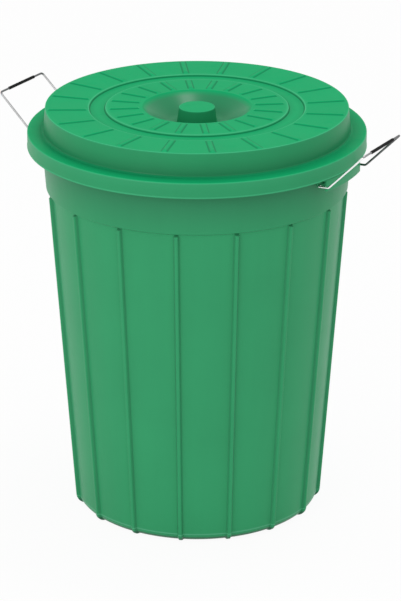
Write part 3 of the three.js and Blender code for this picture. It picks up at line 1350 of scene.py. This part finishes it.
    def rings(self) -> list[Ring]:
        """The rings of the top, the skirt's foot and the underside.

        Returns:
            The rings from the knob out and back inside.
        """
        corners = self.top_corners()
        brim = 12  # the corners from the knob to the brim's edge, which the underside runs parallel to
        mid_skirt = Corner(corners[brim].radius, self.brim_top - self.skirt_depth / 2)
        inner_foot = Corner(self.brim_radius - self.wall, corners[-1].height, self.skirt_bead, 3)
        under = [Corner(*p, c.round, c.steps) for p, c in zip(parallel(corners, self.wall), corners[:brim])]
        top = graded(rounded([*corners[:brim], mid_skirt]), self.longest_straight)
        fine: list[Vector] = []
        for start, end in zip(top, top[1:]):
            fine.append(start)
            if start.x > self.bowl_radius and end.x > start.x:
                cuts = [r for r in self._rib_stations() if start.x < r < end.x]
                fine += [start.lerp(end, (r - start.x) / (end.x - start.x)) for r in cuts]
        upper = [self._dressed(point, self._softened_share(point.x)) for point in fine]
        lower_corners = [mid_skirt, *corners[brim:], inner_foot, *reversed(under)]
        lower = graded(rounded(lower_corners), self.longest_under_straight)
        outside = self.brim_radius - self.skirt_bead - TOUCH
        return upper + [self._dressed(p) if p.x > outside else Ring.plain(p) for p in lower]

    def build(self, material: bpy.types.Material) -> None:
        """Builds the lid in place of its plain node."""
        mesh = turned("lid_shell", self.rings(), self.ribs.columns)
        carried("ribbed_lid", mesh, material, "lid", "lid")


# Bails


@dataclass
class Bail:
    """One wire bail: pins in the lug's block, short cranks, rising legs and a bar that carries a sleeve."""

    side: Side
    pivot_radius: float = 0.2475
    pivot_height: float = 0.5895
    wire_radius: float = 0.0017
    wire_rounds: int = 3
    side_shift: float = -0.0033
    pin_start: float = 0.0345
    foot_half_width: float = 0.0618
    crank_length: float = 0.0185
    leg_length: float = 0.0824
    leg_rise: float = 43.1
    bar_half_width: float = 0.061
    pin_bend: float = 0.00325
    knee_bend: float = 0.007
    corner_bend: float = 0.005
    bend_steps: int = 8
    longest_wire: float = 0.008
    wire_shoulder: float = 0.0015
    bar_reach: float = 0.0015
    # painted reflection: the tone of each half of the bar and of each leg
    bar_shines: Pair = (0.0, 0.0)
    leg_shines: Pair = (0.3, 0.33)
    grip_radius: float = 0.0025
    grip_bore: float = 0.002
    grip_length: float = 0.0715
    grip_round: float = 0.0004
    grip_columns: int = 40
    longest_grip: float = 0.006
    grip_shoulder: float = 0.0003

    @property
    def bar_place(self) -> Pair:
        """The bar's reach and lift from the pin axis, with the crank level."""
        rise = math.radians(self.leg_rise)
        return self.crank_length + self.leg_length * math.cos(rise), self.leg_length * math.sin(rise)

    @property
    def stance(self) -> Matrix:
        """Puts a bail drawn round its pin axis, reaching along +X, on its lug at its rest angle.

        Returns:
            The transform.
        """
        half_turn = Matrix.Rotation(0.0 if self.side.sign > 0 else math.pi, 4, "Z")
        pins = Matrix.Translation((self.pivot_radius, self.side.sign * self.side_shift, self.pivot_height))
        return half_turn @ pins @ Matrix.Rotation(-math.radians(self.side.rest_angle), 4, "Y")

    def path(self) -> list[Vector]:
        """The wire's centre line, with each corner turned on its bend radius.

        Returns:
            3D points round the pin axis.
        """
        reach, lift = self.bar_place
        half = [
            Vector((0.0, self.pin_start, 0.0)),
            Vector((0.0, self.foot_half_width, 0.0)),
            Vector((self.crank_length, self.foot_half_width, 0.0)),
            Vector((reach, self.bar_half_width, lift)),
        ]
        corners = half + [Vector((p.x, -p.y, p.z)) for p in reversed(half)]
        bends = [self.pin_bend, self.knee_bend, self.corner_bend]
        points = [corners[0]]
        for before, corner, after, bend in zip(corners, corners[1:], corners[2:], bends + bends[::-1]):
            arriving = (corner - before).normalized()
            leaving = (after - corner).normalized()
            turn = arriving.angle(leaving)
            centre = corner + (leaving - arriving).normalized() * (bend / math.cos(turn / 2))
            axis = arriving.cross(leaving).normalized()
            for step in range(self.bend_steps + 1):
                direction = Matrix.Rotation(turn * step / self.bend_steps, 3, axis) @ arriving
                points.append(centre + direction.cross(axis) * bend)
        points.append(corners[-1])
        return points

    def wire(self) -> bpy.types.Mesh:
        """The round wire swept along its path.

        Returns:
            The mesh.
        """
        curve = bpy.data.curves.new("wire_path", "CURVE")
        curve.dimensions = "3D"
        curve.bevel_depth = self.wire_radius
        curve.bevel_resolution = self.wire_rounds
        curve.use_fill_caps = True
        points = graded(self.path(), self.longest_wire, self.wire_shoulder, axes=3)
        spline = curve.splines.new("POLY")
        spline.points.add(len(points) - 1)
        for slot, point in zip(spline.points, points):
            slot.co = (*point, 1.0)
        mesh = applied(placed("wire_path", curve))
        tones = [self._shine(vertex.co) for vertex in mesh.vertices]
        mesh.attributes.new(TONE, "FLOAT", "POINT").data.foreach_set("value", tones)
        mesh.transform(self.stance)
        return mesh

    def _shine(self, point: Vector) -> float:
        """How bright the wire's painted reflection is: one tone for each half of the bar and one for each
        leg.

        Args:
            point: a point of the wire, with the pins along Y.

        Returns:
            The tone.
        """
        on_bar = point.z > self.bar_place[1] - self.bar_reach
        shines = self.bar_shines if on_bar else self.leg_shines
        return shines[0] if point.y * self.side.sign < 0 else shines[1]

    def grip(self) -> bpy.types.Mesh:
        """The sleeve on the bar, with rounded ends.

        Returns:
            The mesh.
        """
        half = self.grip_length / 2
        middle = (self.grip_radius + self.grip_bore) / 2
        outline = [
            Corner(middle, -half),
            Corner(self.grip_radius, -half, self.grip_round * 0.6, 4),
            Corner(self.grip_radius, half, self.grip_round * 0.6, 4),
            Corner(self.grip_bore, half, self.grip_round * 0.4, 3),
            Corner(self.grip_bore, -half, self.grip_round * 0.4, 3),
            Corner(middle, -half),
        ]
        points = graded(rounded(outline), self.longest_grip, self.grip_shoulder)
        rings = [Ring.plain(p) for p in points[:-1]]
        mesh = turned("sleeve", rings, even_columns(self.grip_columns), loop=True)
        reach, lift = self.bar_place
        on_bar = Matrix.Translation((reach, 0.0, lift)) @ Matrix.Rotation(math.pi / 2, 4, "X")
        mesh.transform(self.stance @ on_bar)
        return mesh

    def build(self, steel: bpy.types.Material, vinyl: bpy.types.Material) -> None:
        """Builds the wire and its sleeve in place of their plain nodes.

        Args:
            steel: the wire's finish.
            vinyl: the sleeve's finish.
        """
        label = self.side.label
        carried(f"{label}_wire", self.wire(), steel, f"{label}_bail", f"{label}_bail_wire")
        carried(f"{label}_sleeve", self.grip(), vinyl, f"{label}_grip", f"{label}_bail_grip")


# Studio


@dataclass
class Lamp:
    """A soft rectangular lamp that faces a point."""

    name: str
    place: Triple
    target: Triple
    size: Pair
    watts: float

    def build(self) -> None:
        """Adds the lamp."""
        light = bpy.data.lights.new(self.name, "AREA")
        light.shape = "RECTANGLE"
        light.size, light.size_y = self.size
        light.energy = self.watts
        obj = placed(self.name, light)
        obj.location = self.place
        obj.rotation_mode = "QUATERNION"
        obj.rotation_quaternion = (Vector(self.target) - Vector(self.place)).to_track_quat("-Z", "Y")


@dataclass
class Studio:
    """A pale floor, soft lamps and the camera."""

    floor_size: float = 30.0
    floor_drop: float = 0.0002
    floor_colour: Colour = (0.86, 0.86, 0.86)
    floor_share: float = 0.06
    sky_strength: float = 0.8
    camera_place: Triple = (2.1139, -3.6392, 2.004)
    camera_pitch: float = 21.66
    camera_lens: float = 169.56
    sensor: float = 36.0
    shift: Pair = (0.0059, 0.0004)
    clip: Pair = (0.05, 60.0)
    lamps: list[Lamp] = field(
        default_factory=lambda: [
            Lamp("overhead", (0.3, 0.5, 3.3), (0.0, 0.0, 0.5), (0.9, 0.7), 17.5),
            Lamp("left_front", (-0.4, -4.2, 1.9), (0.0, 0.0, 0.35), (2.2, 2.2), 34.0),
        ]
    )

    def build(self) -> None:
        """Adds the floor, the sky, the lamps and the camera."""
        self._floor()
        self._sky()
        for lamp in self.lamps:
            lamp.build()
        self._camera()
        scene = bpy.context.scene
        scene.view_settings.view_transform = "Standard"
        LOG.info("studio: floor, sky, %d lamps, camera", len(self.lamps))

    @staticmethod
    def _seen_plain(recipe: Recipe) -> Shade:
        """1 where the camera, a mirror image or glass sees the background, and 0 for other light.

        Args:
            recipe: the recipe of the floor or the sky.

        Returns:
            The value for each ray of light.
        """
        path = recipe.node("ShaderNodeLightPath", output="Is Camera Ray")
        outputs = path.socket.node.outputs
        glossy = Shade(recipe, outputs["Is Glossy Ray"])
        through = Shade(recipe, outputs["Is Transmission Ray"])
        return path.highest(glossy).highest(through)

    def _floor(self) -> None:
        """A pale floor that keeps a faint shadow."""
        work = bmesh.new()
        bmesh.ops.create_grid(work, x_segments=1, y_segments=1, size=self.floor_size / 2)
        floor = placed("floor", drawn("floor", work))
        material = bpy.data.materials.new("pale_floor")
        material.use_nodes = True
        recipe = Recipe(material.node_tree)
        matt = recipe.node("ShaderNodeBsdfDiffuse", {}, {"Color": (*self.floor_colour, 1.0)})
        glow = recipe.node("ShaderNodeEmission", {}, {"Color": (1.0, 1.0, 1.0, 1.0), "Strength": 1.0})
        seen = self._seen_plain(recipe)
        factor = seen * (1 - self.floor_share)
        surface = recipe.node("ShaderNodeMixShader", {}, {0: factor, 1: matt, 2: glow})
        recipe.node("ShaderNodeOutputMaterial", {}, {"Surface": surface})
        floor.data.materials.append(material)
        floor.location.z = -self.floor_drop

    def _sky(self) -> None:
        """An even sky, white where it is seen."""
        world = bpy.data.worlds.new("studio")
        world.use_nodes = True
        recipe = Recipe(world.node_tree)
        seen = self._seen_plain(recipe)
        strength = self.sky_strength + seen * (1 - self.sky_strength)
        sky = recipe.node("ShaderNodeBackground", {}, {"Color": (1.0, 1.0, 1.0, 1.0), "Strength": strength})
        recipe.node("ShaderNodeOutputWorld", {}, {"Surface": sky})
        bpy.context.scene.world = world

    def _camera(self) -> None:
        """The camera at the photograph's height and distance."""
        data = bpy.data.cameras.new("camera")
        data.lens = self.camera_lens
        data.sensor_width = self.sensor
        data.shift_x, data.shift_y = self.shift
        data.clip_start, data.clip_end = self.clip
        camera = placed("camera", data)
        camera.location = self.camera_place
        pitch = math.radians(self.camera_pitch)
        x, y, _ = self.camera_place
        level = Vector((-x, -y, 0.0)).normalized()
        look = level * math.cos(pitch) + Vector((0.0, 0.0, -math.sin(pitch)))
        camera.rotation_mode = "QUATERNION"
        camera.rotation_quaternion = look.to_track_quat("-Z", "Y")
        bpy.context.scene.camera = camera


def main() -> None:
    """Builds the drum, the lid, the bails and the studio."""
    logging.basicConfig(level=logging.INFO, format="%(name)s: %(message)s")
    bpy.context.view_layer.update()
    Drum().build(DRUM_PLASTIC.material())
    Lid().build(LID_PLASTIC.material())
    steel = WIRE_STEEL.material()
    vinyl = GRIP_VINYL.material()
    # the right bail's painted reflection is bright on its near leg and darker on the bar and far leg
    Bail(Side.RIGHT, leg_shines=(1.0, 0.0), bar_shines=(0.18, 0.02)).build(steel, vinyl)
    Bail(Side.LEFT).build(steel, vinyl)
    Studio().build()


if __name__ == "__main__":
    main()
